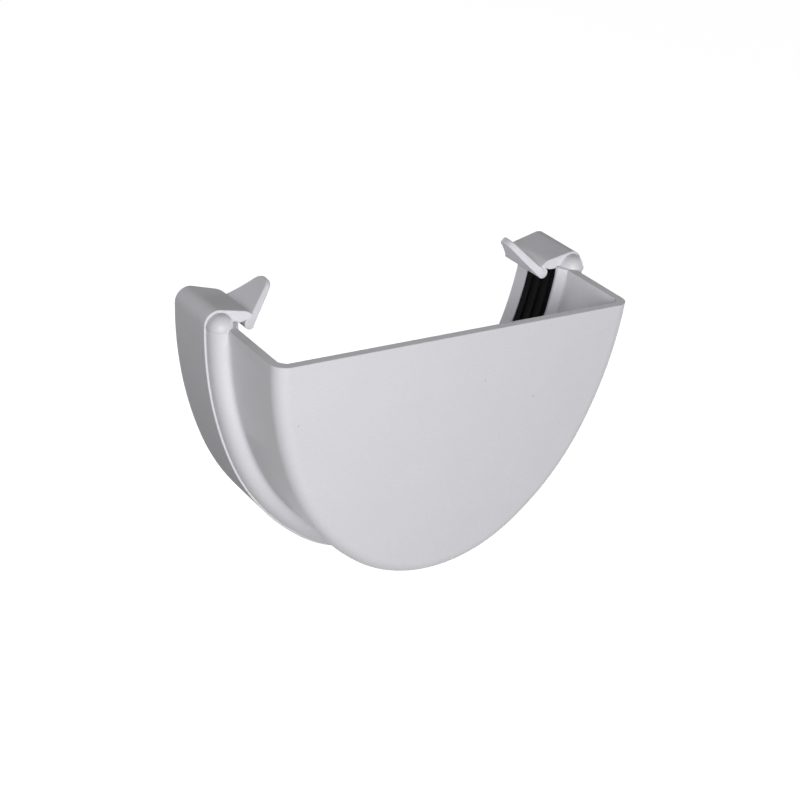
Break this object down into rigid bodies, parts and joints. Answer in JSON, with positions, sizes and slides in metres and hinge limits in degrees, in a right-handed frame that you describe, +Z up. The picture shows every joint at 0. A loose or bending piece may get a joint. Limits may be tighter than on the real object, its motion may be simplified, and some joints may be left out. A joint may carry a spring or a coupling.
{
  "type": "gutter end cap",
  "caption": "External stop end for a deep round gutter: moulded plastic cap with a beaded socket, clips with ear tabs and a rubber seal in a groove.",
  "frame": {"origin": "middle of the socket's mouth, level with the top edge of the end plate, where the gutter's end goes in", "axes": "+X across the gutter, +Y out of the mouth along the gutter, +Z up"},
  "size_m": [0.1372, 0.0512, 0.0974],
  "materials": {
    "white_upvc": "satin",
    "black_epdm": "matte"
  },
  "bodies": {
    "root": {"stop_end_body": "white_upvc", "rubber_seal": "black_epdm"}
  },
  "joints": []
}
